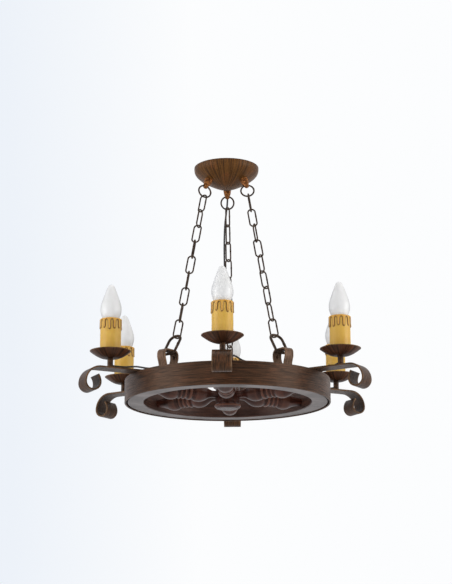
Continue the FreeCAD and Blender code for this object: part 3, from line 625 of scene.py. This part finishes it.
def meander(seed):
    """Points (arc, height) of the wavy lower edge of the wax; crotches are high, drips low."""
    rng = np.random.default_rng(seed)
    t = np.linspace(-2 * math.pi, 2 * math.pi * (LOBES + 1), 110 * (LOBES + 2))
    lobe = np.floor(t / (2 * math.pi) + 0.5).astype(int) % LOBES
    down = rng.uniform(104.2, 107.6, LOBES)
    lean = rng.uniform(-0.5, 0.5, LOBES)
    blend = 0.5 + 0.5 * np.cos(t)
    x = PITCH * t / (2 * math.pi) + 0.080 * PITCH * np.sin(2 * t) + lean[lobe] * blend
    low, high = down[lobe], 121.0
    return x, high + (low - high) * blend


def sleeve_patch(place, seed, cols=240):
    """Tube with a thick drip collar. Rows run under the foot, up the outside, over and back in."""
    upper = np.linspace(102.0, SLEEVE_TOP - 1.0, 46)
    outside = np.concatenate([np.linspace(SLEEVE_LOW + 0.4, 101.0, 16), upper])
    lip = np.array([[SLEEVE_R - 0.1, SLEEVE_TOP - 0.5], [SLEEVE_R - 0.5, SLEEVE_TOP - 0.12],
                    [SLEEVE_R - 1.0, SLEEVE_TOP], [SLEEVE_IN + 0.7, SLEEVE_TOP],
                    [SLEEVE_IN + 0.2, SLEEVE_TOP - 0.2], [SLEEVE_IN, SLEEVE_TOP - 0.7]])
    profile = np.concatenate([[[SLEEVE_IN, SLEEVE_LOW], [SLEEVE_R - 0.4, SLEEVE_LOW]],
                              np.stack([np.full(len(outside), SLEEVE_R), outside], axis=1), lip,
                              [[SLEEVE_IN, 110.0], [SLEEVE_IN, 90.0]]])
    r, z = profile[:, 0:1], profile[:, 1:2]
    arc = np.arange(cols)[None, :] / cols * 2 * math.pi * SLEEVE_R
    mx, mz = meander(seed)
    near = np.full((len(profile), cols), 9.0)
    for part in np.array_split(np.arange(len(mx)), 12):
        gap = np.hypot(arc[:, :, None] - mx[part], z[:, :, None] - mz[part])
        near = np.minimum(near, gap.min(axis=2))
    edge_z = np.interp(arc, mx, mz)
    inside = np.where(z > edge_z, near, -near)
    outer = (r > SLEEVE_R - 0.7) & (z > 80)
    thick = smooth(inside, -0.5, 0.9) * (1.15 + 0.35 * smooth(-z, -112.0, -106.0))
    fade = 1 - 0.6 * smooth(z, SLEEVE_TOP - 1.4, SLEEVE_TOP)
    relief = np.where(outer, thick * fade, 0.0)
    dip = 0.12 * ripple(arc / SLEEVE_R, z / 14.0, seed) * (r > SLEEVE_R - 0.2)
    line = np.where(outer, np.exp(-(near / 0.9) ** 2), 0.0)
    tint = np.where(outer, smooth(inside, -0.3, 0.5), 0.0)
    return lathe(profile, place, cols, ring=True, marks={"line": line, "tint": tint},
                 relief=relief + dip)


SPIN = (0, 21, 47, 11, 33, 58)
for i, name in enumerate(ARMS):
    spot = frame_at(at(CANDLE_R, 60 * i, 0), along(60 * i + SPIN[i]), UP)
    build("wax_sleeve_" + name, "wheel", [sleeve_patch(spot, 70 + i)],
          ["candle_sleeve_" + name], sharp=60)
print("sleeves", len(ARMS), "with", LOBES, "drips each")


# %% [markdown]
# ## Bulbs
# A candle bulb is blown glass with an inside frost. It is a smooth shell about a millimetre
# thick that narrows to a rounded tip. The frost scatters the room's light, so it looks pearly
# white. Its grey edge is painted shade: grey is mixed into the colour where the surface turns
# away from the view.

# %% Bulb glass
GLASS = [(6.9, 106.0), (8.1, 111.0), (10.4, 117.0), (13.2, 124.0), (15.9, 131.0), (17.3, 137.0),
         (17.5, 141.0), (16.9, 147.0), (14.6, 155.0), (11.5, 164.0), (8.4, 172.5), (6.2, 178.0),
         (4.2, 181.4), (2.0, 182.9), (0.3, 183.15)]
glass = resample(GLASS, 80)
slope = np.gradient(glass, axis=0)
normal = np.stack([-slope[:, 1], slope[:, 0]], axis=1) / np.hypot(*slope.T)[:, None]
GLASS_T = 0.9
within = glass + normal * GLASS_T
within = np.stack([np.clip(within[:, 0], 0.25, None), within[:, 1]], axis=1)[::-1]
for i, name in enumerate(ARMS):
    spot = frame_at(at(CANDLE_R, 60 * i, 0), out(60 * i), UP)
    patch = lathe(np.concatenate([glass, within]), spot, 72, ring=True)
    build("frosted_bulb_" + name, "bulb_" + name, [patch],
          ["bulb_glass_" + name], sharp=80)
print("bulb", 2 * max(r for r, _ in GLASS), "mm across")


# %% [markdown]
# ## Finishes
# A node is placed with one short call: the inputs are numbers, colours or the outputs of
# other nodes. Colours are written as a painter reads them from a screen, from 0 to 255, and
# turned into the linear values that light needs.

# %% Node helpers
def paint(r, g, b):
    """Linear colour from screen values between 0 and 255."""
    c = np.array([r, g, b]) / 255.0
    c = np.where(c < 0.04045, c / 12.92, ((c + 0.055) / 1.055) ** 2.4)
    return (*c.tolist(), 1.0)


def node(tree, kind, inputs=None, **settings):
    """A shader node with its settings, its values and its links in one call."""
    n = tree.nodes.new("ShaderNode" + kind)
    for key, value in settings.items():
        setattr(n, key, value)
    for key, value in (inputs or {}).items():
        if isinstance(value, bpy.types.NodeSocket):
            tree.links.new(value, n.inputs[key])
        else:
            n.inputs[key].default_value = value
    return n


def mix(tree, factor, a, b):
    """Colour between a and b."""
    return node(tree, "Mix", {0: factor, 6: a, 7: b}, data_type="RGBA").outputs[2]


def spread(tree, value, low, high, to_low=0.0, to_high=1.0):
    """A value's range from low to high stretched to a new range."""
    return node(tree, "MapRange", {0: value, 1: low, 2: high, 3: to_low, 4: to_high}).outputs[0]


def noise(tree, place, scale, detail, rough=0.5, distortion=0.0):
    """A cloudy number between about 0.3 and 0.7 at each place."""
    inputs = {"Vector": place, "Scale": scale, "Detail": detail, "Roughness": rough,
              "Distortion": distortion}
    return node(tree, "TexNoise", inputs).outputs[0]


def calc(tree, operation, a, b=0.0):
    """One arithmetic step."""
    return node(tree, "Math", {0: a, 1: b}, operation=operation).outputs[0]


def group(name, inputs, outputs):
    """An empty shader node group with named sockets: label, kind and starting value."""
    g = bpy.data.node_groups.new(name, "ShaderNodeTree")
    for label, kind, value in inputs:
        socket = g.interface.new_socket(label, in_out="INPUT", socket_type="NodeSocket" + kind)
        if value is not None:
            socket.default_value = value
    for label, kind in outputs:
        g.interface.new_socket(label, in_out="OUTPUT", socket_type="NodeSocket" + kind)
    return g, g.nodes.new("NodeGroupInput").outputs, g.nodes.new("NodeGroupOutput").inputs


print("mid grey is", round(paint(128, 128, 128)[0], 3), "in linear light")



# %% [markdown]
# Brown paint on the iron is brushed on thin over black and then rubbed. One group makes that
# finish: a dark and a lighter brown mixed by streaks, coppery patches where it is thinnest,
# and bare lines on the corners, which the pieces mark for themselves. On the canopy the same
# mark paints a darker band along the top lip. Its gloss is low and warm: a plain number and a
# tint on the shader's own sockets.

# %% Rubbed paint
rubbed, i, o = group("rubbed paint", [
    ("Streak place", "Vector", None), ("Blotch place", "Vector", None),
    ("Dark", "Color", paint(27, 15, 8)), ("Brown", "Color", paint(74, 48, 29)),
    ("Copper", "Color", paint(104, 58, 34)), ("Edge", "Color", paint(124, 94, 66)),
    ("Copper share", "Float", 0.3), ("Edge mark", "Float", 0.0)],
    [("Color", "Color"), ("Roughness", "Float"), ("Height", "Float")])
streak = noise(rubbed, i[0], 1.0, 7.0, 0.62)
blotch = noise(rubbed, i[1], 45.0, 5.0, 0.6)
fine = noise(rubbed, i[1], 900.0, 3.0, 0.6)
body = mix(rubbed, spread(rubbed, streak, 0.40, 0.60), i[2], i[3])
share = calc(rubbed, "MULTIPLY", spread(rubbed, blotch, 0.50, 0.68),
             spread(rubbed, streak, 0.45, 0.70))
share = calc(rubbed, "MULTIPLY", share, i[6])
body = mix(rubbed, share, body, i[4])
body = mix(rubbed, spread(rubbed, fine, 0.35, 0.75, 0.0, 0.22), body, i[3])
edge_share = calc(rubbed, "MULTIPLY", i[7], spread(rubbed, blotch, 0.36, 0.62, 0.05, 0.8))
rubbed.links.new(mix(rubbed, edge_share, body, i[5]), o[0])
rough = calc(rubbed, "ADD", spread(rubbed, streak, 0.3, 0.7, 0.50, 0.36),
             spread(rubbed, fine, 0.3, 0.7, -0.05, 0.08))
rubbed.links.new(rough, o[1])
height = calc(rubbed, "ADD", calc(rubbed, "MULTIPLY", streak, 0.7),
              calc(rubbed, "MULTIPLY", fine, 0.35))
rubbed.links.new(height, o[2])
print("group", rubbed.name, len(rubbed.nodes), "nodes")


# %% Material shell
def finish(name, **values):
    """A material with plain values on its Principled shader, its tree and the shader."""
    material = bpy.data.materials.new(name)
    material.use_nodes = True
    tree = material.node_tree
    shader = tree.nodes["Principled BSDF"]
    for key, value in values.items():
        shader.inputs[key.replace("_", " ")].default_value = value
    return material, tree, shader


def connect(tree, shader, color=None, rough=None, height=None, distance=0.0004, strength=0.5):
    """Links a colour, a roughness and a height through a Bump node."""
    if color is not None:
        tree.links.new(color, shader.inputs["Base Color"])
    if rough is not None:
        tree.links.new(rough, shader.inputs["Roughness"])
    if height is not None:
        bump = node(tree, "Bump", {"Height": height, "Distance": distance, "Strength": strength})
        tree.links.new(bump.outputs[0], shader.inputs["Normal"])


def coords(tree):
    """Object coordinates: the place in the frame, because every piece's origin is the frame's."""
    return node(tree, "TexCoord").outputs["Object"]


def mapped(tree, vector, scale, location=(0, 0, 0)):
    """A vector stretched and shifted."""
    inputs = {"Vector": vector, "Scale": scale, "Location": location}
    return node(tree, "Mapping", inputs).outputs[0]


def mark(tree, name):
    """A number that the piece's mesh carries at each point."""
    return node(tree, "Attribute", attribute_name=name).outputs["Fac"]


WARM = (1.0, 0.78, 0.62, 1.0)


def rubbed_iron(name, streaks, copper, shades=None, bump=0.0005, gloss=0.24, **values):
    """Rubbed paint: streaks(tree) gives the place that the streaks are read from."""
    material, tree, shader = finish(name, Specular_IOR_Level=gloss, Specular_Tint=WARM, **values)
    use = node(tree, "Group", node_tree=rubbed)
    tree.links.new(streaks(tree), use.inputs["Streak place"])
    tree.links.new(coords(tree), use.inputs["Blotch place"])
    tree.links.new(mark(tree, "rub"), use.inputs["Edge mark"])
    use.inputs["Copper share"].default_value = copper
    for label, colour in (shades or {}).items():
        use.inputs[label].default_value = colour
    connect(tree, shader, use.outputs["Color"], use.outputs["Roughness"], use.outputs["Height"],
            bump, 0.55)
    return material


print("helpers: finish, connect, rubbed_iron")



# %% [markdown]
# The streaks have to run the right way on each piece: along a strap, round the hoop, from the
# rim to the middle on a pan and on the canopy. On straps the piece's own UV map gives the
# direction. Round the hoop, object coordinates squeezed in height do it. On the pans and the
# canopy, the angle round the axis is turned into a place on a circle, so there is no seam.

# %% Iron finishes
def by_uv(along_scale, across_scale):
    """Streaks along the first UV direction."""
    return lambda tree: mapped(tree, node(tree, "UVMap", uv_map="UVMap").outputs[0],
                               (along_scale, across_scale, 1.0))


def by_height(flat, tall):
    """Streaks round the wheel: slow changes in x and y, quick ones in height."""
    return lambda tree: mapped(tree, coords(tree), (flat, flat, tall))


def by_angle(turns, tall, middle=(0, 0)):
    """Streaks down a turned piece: its direction from the axis, and a slow change in height."""
    def place(tree):
        moved = mapped(tree, coords(tree), (1, 1, 0), (-middle[0], -middle[1], 0))
        unit = node(tree, "VectorMath", {0: moved}, operation="NORMALIZE").outputs[0]
        wide = node(tree, "VectorMath", {0: unit, 3: turns}, operation="SCALE").outputs[0]
        rise = mapped(tree, coords(tree), (0, 0, tall))
        return node(tree, "VectorMath", {0: wide, 1: rise}, operation="ADD").outputs[0]
    return place


strap_iron = rubbed_iron("brushed strap iron", by_uv(70.0, 620.0), 0.75)
bracket_iron = rubbed_iron("rubbed bracket iron", by_uv(70.0, 620.0), 0.9,
                           {"Dark": paint(58, 42, 32), "Brown": paint(112, 88, 72),
                            "Copper": paint(136, 94, 72)}, gloss=0.12)
hoop_iron = rubbed_iron("rolled hoop iron", by_height(34.0, 860.0), 0.75,
                        {"Dark": paint(30, 17, 9), "Brown": paint(76, 49, 32),
                         "Edge": paint(84, 62, 48)})
stem_iron = rubbed_iron("plain dark iron", by_height(160.0, 160.0), 0.5)
chain_iron = rubbed_iron("blackened chain iron", by_height(240.0, 90.0), 0.25,
                         {"Dark": paint(42, 33, 28), "Brown": paint(70, 56, 46),
                          "Copper": paint(92, 68, 54), "Edge": paint(104, 88, 76)},
                         gloss=0.08, Metallic=0.1)
eye_copper = rubbed_iron("coppered screw eyes", by_height(220.0, 220.0), 0.9,
                         {"Dark": paint(82, 46, 22), "Brown": paint(150, 96, 50),
                          "Copper": paint(196, 120, 72), "Edge": paint(214, 160, 110)},
                         Metallic=0.45)
# On the canopy the Edge colour is dark, so the top lip is painted darker.
canopy_brown = rubbed_iron("streaked canopy bronze", by_angle(30.0, 26.0), 0.9,
                           {"Dark": paint(44, 25, 9), "Brown": paint(102, 66, 30),
                            "Copper": paint(124, 66, 36), "Edge": paint(44, 28, 20)},
                           bump=0.0003, gloss=0.18)
pan_irons = []
for k, name in enumerate(ARMS):
    x, y, _ = at(CANDLE_R, 60 * k, 0) * MM
    pan_irons.append(rubbed_iron("spun pan iron " + name.replace("_", " "),
                                 by_angle(7.0, 24.0, (x, y)), 0.7,
                                 {"Dark": paint(36, 21, 13), "Brown": paint(80, 48, 30),
                                  "Copper": paint(122, 64, 38)}, bump=0.0003, gloss=0.16))
print("pan finishes", len(pan_irons))

# %% [markdown]
# The wood is stained nearly black-brown and lacquered to a low shine. The shine matters more
# than the grain: seen from below, the flat underside of the rim mirrors the pale room, and the
# lower edges of the spokes carry thin light lines. The crests are painted lighter and redder.

# %% Lacquered wood
def lacquered(name, place, grain_scale, dark=(32, 15, 10), red=(76, 36, 24)):
    """Stained grain under a coat of lacquer; place(tree) runs slowly along the grain."""
    material, tree, shader = finish(name, Specular_IOR_Level=0.3,
                                    Specular_Tint=(1.0, 0.80, 0.74, 1.0))
    grain = noise(tree, place(tree), grain_scale, 8.0, 0.6, 0.4)
    cloud = noise(tree, coords(tree), 26.0, 3.0)
    pore = noise(tree, place(tree), grain_scale * 4.0, 2.0)
    colour = mix(tree, spread(tree, grain, 0.36, 0.66), paint(*dark), paint(*red))
    colour = mix(tree, spread(tree, cloud, 0.35, 0.7, 0.0, 0.55), colour, paint(42, 23, 17))
    # The bead crests and the hub's widest rings are painted lighter and redder.
    colour = mix(tree, calc(tree, "MULTIPLY", mark(tree, "crest"), 0.5), colour, paint(120, 76, 58))
    rough = spread(tree, grain, 0.3, 0.7, 0.42, 0.30)
    height = calc(tree, "ADD", calc(tree, "MULTIPLY", grain, 0.5),
                  spread(tree, pore, 0.55, 0.68, 0.0, -0.8))
    connect(tree, shader, colour, rough, height, 0.0003, 0.4)
    return material


spoke_wood = lacquered("stained spoke wood", by_uv(16.0, 9.0), 1.0)
rim_wood = lacquered("stained rim wood", by_height(20.0, 260.0), 1.0,
                     dark=(46, 30, 25), red=(78, 52, 42))
hub_wood = lacquered("stained hub wood", by_angle(9.0, 18.0, (0, WHEEL_Y * MM)), 1.0)
print("wood finishes:", spoke_wood.name + ",", rim_wood.name + ",", hub_wood.name)


# %% [markdown]
# Wax-coloured card with a dipped surface: an even ochre, oranger on the drips, with a brown
# line painted along their edge. A little light goes into it, which softens its shadows.

# %% Wax
material, tree, shader = finish("ochre candle wax", Specular_IOR_Level=0.4, Subsurface_Weight=0.12,
                                Subsurface_Radius=(0.012, 0.006, 0.002), Subsurface_Scale=0.25)
cloud = noise(tree, coords(tree), 60.0, 4.0)
runs = noise(tree, mapped(tree, coords(tree), (300.0, 300.0, 26.0)), 1.0, 5.0)
colour = mix(tree, spread(tree, cloud, 0.3, 0.7), paint(200, 155, 56), paint(210, 168, 72))
colour = mix(tree, spread(tree, runs, 0.45, 0.75, 0.0, 0.35), colour, paint(194, 144, 50))
tinted = calc(tree, "MULTIPLY", mark(tree, "tint"), spread(tree, cloud, 0.3, 0.6, 0.25, 0.6))
colour = mix(tree, tinted, colour, paint(206, 146, 50))
lined = calc(tree, "MULTIPLY", mark(tree, "line"), spread(tree, runs, 0.3, 0.6, 0.65, 1.0))
colour = mix(tree, lined, colour, paint(80, 42, 10))
connect(tree, shader, colour, spread(tree, cloud, 0.3, 0.7, 0.42, 0.52),
        calc(tree, "ADD", runs, cloud), 0.0002, 0.35)
wax = material
print(wax.name, len(wax.node_tree.nodes), "nodes")


# %% Frosted glass
material, tree, shader = finish("frosted candle bulb glass", Coat_Weight=0.4, Coat_Roughness=0.1)
cloud = noise(tree, mapped(tree, coords(tree), (160.0, 160.0, 40.0)), 1.0, 4.0)
facing = node(tree, "LayerWeight", {"Blend": 0.5}).outputs["Facing"]
frost_and_edge_shade = mix(tree, spread(tree, cloud, 0.35, 0.7), paint(243, 242, 240), paint(250, 249, 248))
# Painted shade: grey mixed into the glass colour where the surface turns away from the view.
frost_and_edge_shade = mix(tree, spread(tree, facing, 0.45, 0.98, 0.0, 0.75), frost_and_edge_shade, paint(168, 168, 172))
connect(tree, shader, frost_and_edge_shade, spread(tree, cloud, 0.3, 0.7, 0.36, 0.46))
glow = node(tree, "BsdfTranslucent", {"Color": frost_and_edge_shade}).outputs[0]
blend = node(tree, "MixShader", {0: 0.3, 1: shader.outputs[0], 2: glow}).outputs[0]
tree.links.new(blend, tree.nodes["Material Output"].inputs[0])
frosted = material
print(frosted.name, len(frosted.node_tree.nodes), "nodes")



# %% [markdown]
# The small parts need only a few nodes each: zinc on the hidden steel, brass-coloured bulb
# caps, pale moulded holders and terminals, black rubber. Each has a fine speckle in its
# colour and roughness, because no moulded or plated part is one flat value.

# %% Small parts
def plain(name, low, high, rough, scale=400.0, bump=0.0001, **values):
    """Two close colours mixed by a fine noise that also moves the roughness."""
    material, tree, shader = finish(name, **values)
    speck = noise(tree, coords(tree), scale, 5.0, 0.6)
    connect(tree, shader, mix(tree, spread(tree, speck, 0.35, 0.65), paint(*low), paint(*high)),
            spread(tree, speck, 0.3, 0.7, rough - 0.05, rough + 0.07), speck, bump, 0.3)
    return material


zinc = plain("zinc plated steel", (150, 150, 152), (182, 182, 184), 0.36, Metallic=0.9)
cap_brass = plain("nickel brass bulb cap", (176, 160, 124), (206, 190, 152), 0.3, Metallic=0.9)
holder_cream = plain("cream lampholder", (214, 208, 188), (228, 222, 204), 0.34)
terminal_white = plain("white terminal block", (216, 216, 210), (230, 230, 226), 0.42)
black_rubber = plain("black rubber", (22, 21, 21), (34, 32, 32), 0.55, scale=900.0)
cord_black = plain("black flex", (20, 18, 18), (38, 34, 33), 0.42, scale=1200.0)
print("small parts:", ", ".join(m.name for m in (zinc, cap_brass, holder_cream, terminal_white)))


# %% Every piece gets its finish
FINISH = {"scroll_arm": strap_iron, "hanging_bracket": bracket_iron, "iron_tyre": hoop_iron,
          "turned_spokes": spoke_wood, "turned_hub": hub_wood, "felloe": rim_wood,
          "spun_canopy": canopy_brown, "eye_ring": chain_iron, "links": chain_iron,
          "hook_link": chain_iron, "wax_sleeve": wax, "frosted_bulb": frosted,
          "bulb_cap": cap_brass, "lampholders": holder_cream, "stems": stem_iron,
          "stem_nuts": zinc, "arm_screws": stem_iron, "bracket_rivets": stem_iron,
          "screw_eyes": eye_copper, "screw_eye_nuts": zinc, "ceiling_crossbar": zinc,
          "canopy_grub_screws": zinc,
          "canopy_terminal_block": terminal_white, "wheel_terminal_block": terminal_white,
          "cord_grommet": black_rubber, "wheel_wiring": cord_black, "flex_cord": cord_black}
FINISH.update({"spun_pan_" + name: pan_irons[k] for k, name in enumerate(ARMS)})


def dress(piece):
    """The finish whose name begins the piece's name, longest first."""
    fits = [key for key in FINISH if piece.name.startswith(key)]
    if fits:
        piece.data.materials.clear()
        piece.data.materials.append(FINISH[max(fits, key=len)])
    return bool(fits)


bare = [o.name for o in bpy.data.objects if o.type in ("MESH", "CURVE") and not dress(o)]
print("pieces without a finish of their own:", bare)

# %% [markdown]
# ## Floor, room and light
# The photograph was taken in a white tent. A wide pale floor lies below and the room is
# nearly white, a little bluer to the left. Light Path makes the room plain white where the
# camera or glass looks at it, and dimmer behind the camera where metal mirrors it. The floor
# is partly lit and partly white, so it keeps the shadow. The lamps stay soft and low.

# %% Floor
FLOOR_Z, FLOOR_HALF = -1.45, 8.0
mesh = bpy.data.meshes.new("floor")
corners = [(x * FLOOR_HALF, y * FLOOR_HALF, FLOOR_Z)
           for x, y in ((-1, -1), (1, -1), (1, 1), (-1, 1))]
mesh.from_pydata(corners, [], [(0, 1, 2, 3)])
floor = bpy.data.objects.new("floor", mesh)
bpy.context.scene.collection.objects.link(floor)
material, tree, shader = finish("pale floor", Base_Color=paint(238, 240, 243), Roughness=0.8)
path = node(tree, "LightPath").outputs
mirrored = calc(tree, "MAXIMUM", path["Is Glossy Ray"], path["Is Transmission Ray"])
seen = calc(tree, "MAXIMUM", mirrored, calc(tree, "MULTIPLY", path["Is Camera Ray"], 0.6))
white = node(tree, "Emission", {0: paint(248, 250, 253), 1: 1.0}).outputs[0]
both = node(tree, "MixShader", {0: seen, 1: shader.outputs[0], 2: white}).outputs[0]
tree.links.new(both, tree.nodes["Material Output"].inputs[0])
floor.data.materials.append(material)
print("floor at", FLOOR_Z, "m")


# %% Room
world = bpy.data.worlds.new("white room")
world.use_nodes = True
bpy.context.scene.world = world
tree = world.node_tree
tree.nodes.clear()
path = node(tree, "LightPath").outputs
place = node(tree, "TexCoord").outputs
behind = node(tree, "SeparateXYZ", {0: place["Generated"]}).outputs["Y"]
mirrored = spread(tree, behind, -0.8, 0.0, 0.14, 1.0)
clear = calc(tree, "MAXIMUM", path["Is Camera Ray"], path["Is Transmission Ray"])
level = calc(tree, "ADD", calc(tree, "MULTIPLY", mirrored, path["Is Glossy Ray"]), clear)
level = calc(tree, "MINIMUM", level, 1.0)
# A ray that none of these names is soft light from the room, at half strength.
plainly = calc(tree, "LESS_THAN", level, 0.01)
level = calc(tree, "ADD", level, calc(tree, "MULTIPLY", plainly, 0.5))
sideways = node(tree, "SeparateXYZ", {0: place["Generated"]}).outputs["X"]
shade = mix(tree, spread(tree, sideways, -0.175, -0.055),
            paint(237, 242, 249), paint(252, 253, 254))
white = node(tree, "Background", {0: shade, 1: level}).outputs[0]
tree.links.new(white, node(tree, "OutputWorld").inputs[0])
print("room", len(tree.nodes), "nodes")



# %% Lamps
def softbox(name, place, aim, size, watts):
    """A square area lamp that looks at a point."""
    light = bpy.data.lights.new(name, "AREA")
    light.shape = "SQUARE"
    light.size = size
    light.energy = watts
    lamp = bpy.data.objects.new(name, light)
    bpy.context.scene.collection.objects.link(lamp)
    lamp.location = place
    lamp.rotation_euler = (Vector(aim) - Vector(place)).to_track_quat("-Z", "Y").to_euler()
    return lamp


middle = (0.0, 0.0, -0.3)
softbox("left softbox", (-1.9, -0.9, -0.1), middle, 1.4, 24.0)
softbox("right softbox", (1.9, -0.7, -0.1), middle, 1.4, 24.0)
softbox("front softbox", (-0.3, -2.6, 0.6), middle, 1.2, 11.0)
softbox("top softbox", (0.1, 0.4, 1.7), middle, 1.6, 18.0)
print("lamps", 4)
